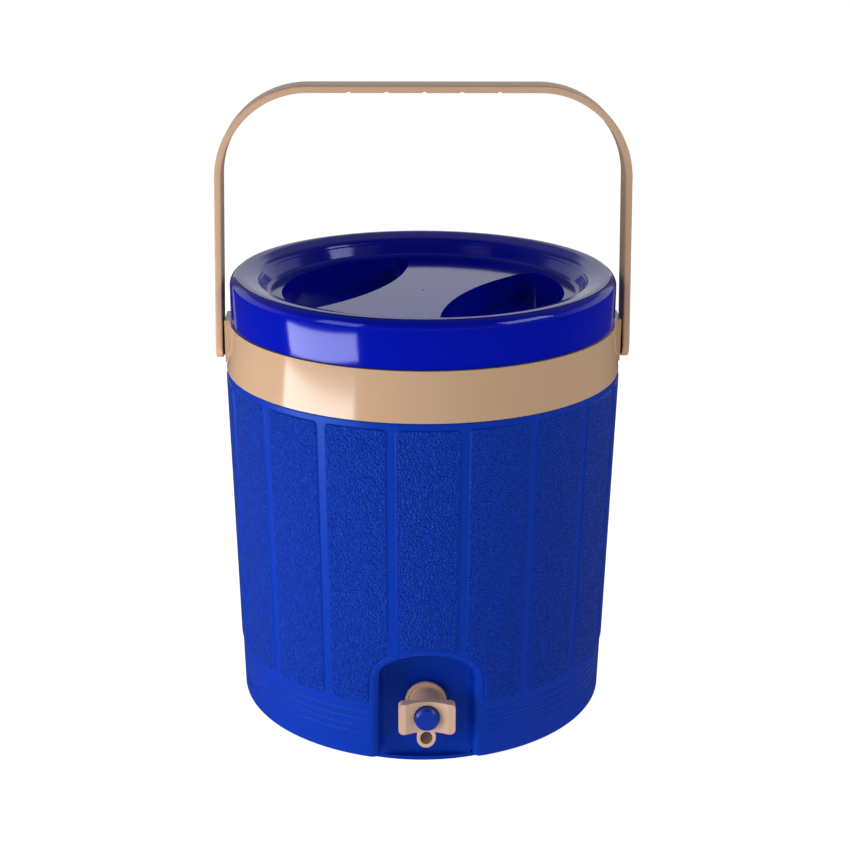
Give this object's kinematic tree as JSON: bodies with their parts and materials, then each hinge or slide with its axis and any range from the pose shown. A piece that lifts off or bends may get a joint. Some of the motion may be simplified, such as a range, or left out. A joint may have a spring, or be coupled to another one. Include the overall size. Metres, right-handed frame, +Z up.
{
  "type": "insulated beverage jug with tap",
  "caption": "Insulated cylindrical drinks jug with textured blue panels, tan collar, swing bail handle, lift-off plug lid with finger pockets and a push-button tap in an arched recess.",
  "frame": {"origin": "centre of the jug's foot on the floor, on the body's axis", "axes": "+Z up, -Y out of the front where the tap is, X along the handle's pivot line"},
  "size_m": [0.3054, 0.2926, 0.4729],
  "materials": {
    "blue_body": "moulded, pebbled panels",
    "blue_lid": "gloss",
    "blue_button": "gloss",
    "tan_collar": "gloss",
    "tan_handle": "satin",
    "tan_tap": "satin",
    "black_pin": "satin",
    "white_liner": "smooth moulded",
    "foam": "rigid foam, cellular",
    "seal_rubber": "matte",
    "screw_steel": "plated",
    "spring_steel": "bright wire"
  },
  "bodies": {
    "jug": {"outer_shell": "blue_body", "base_plate": "blue_body", "base_screws": "screw_steel", "collar_ring": "tan_collar", "inner_liner": "white_liner", "foam_insulation": "foam", "tap_body": "tan_tap", "tap_outer_washer": "seal_rubber", "tap_inner_washer": "seal_rubber", "tap_lock_nut": "white_liner", "return_spring": "spring_steel"},
    "bail": {"handle": "tan_handle", "handle_pin_right": "black_pin", "handle_pin_left": "black_pin"},
    "lid": {"lid_cover": "blue_lid", "lid_base": "blue_lid", "lid_gasket": "seal_rubber", "lid_foam": "foam"},
    "button": {"push_button": "blue_button", "button_o_ring": "seal_rubber", "valve_stem": "white_liner", "valve_seal": "seal_rubber", "seal_retainer": "white_liner"}
  },
  "joints": [
    {"name": "handle_swing", "type": "hinge", "parent": "jug", "child": "bail", "pos_m": [0, 0, 0.2863], "axis": [1, 0, 0], "range_deg": [-118, 118]},
    {"name": "lid_lift", "type": "slide", "parent": "jug", "child": "lid", "axis": [0, 0, 1], "range_m": [0, 0.06]},
    {"name": "button_push", "type": "slide", "parent": "jug", "child": "button", "axis": [0, 1, 0], "range_m": [0, 0.004], "stiffness_N_per_m": 400, "springref_m": -0.005, "deforming": ["return_spring"]}
  ]
}
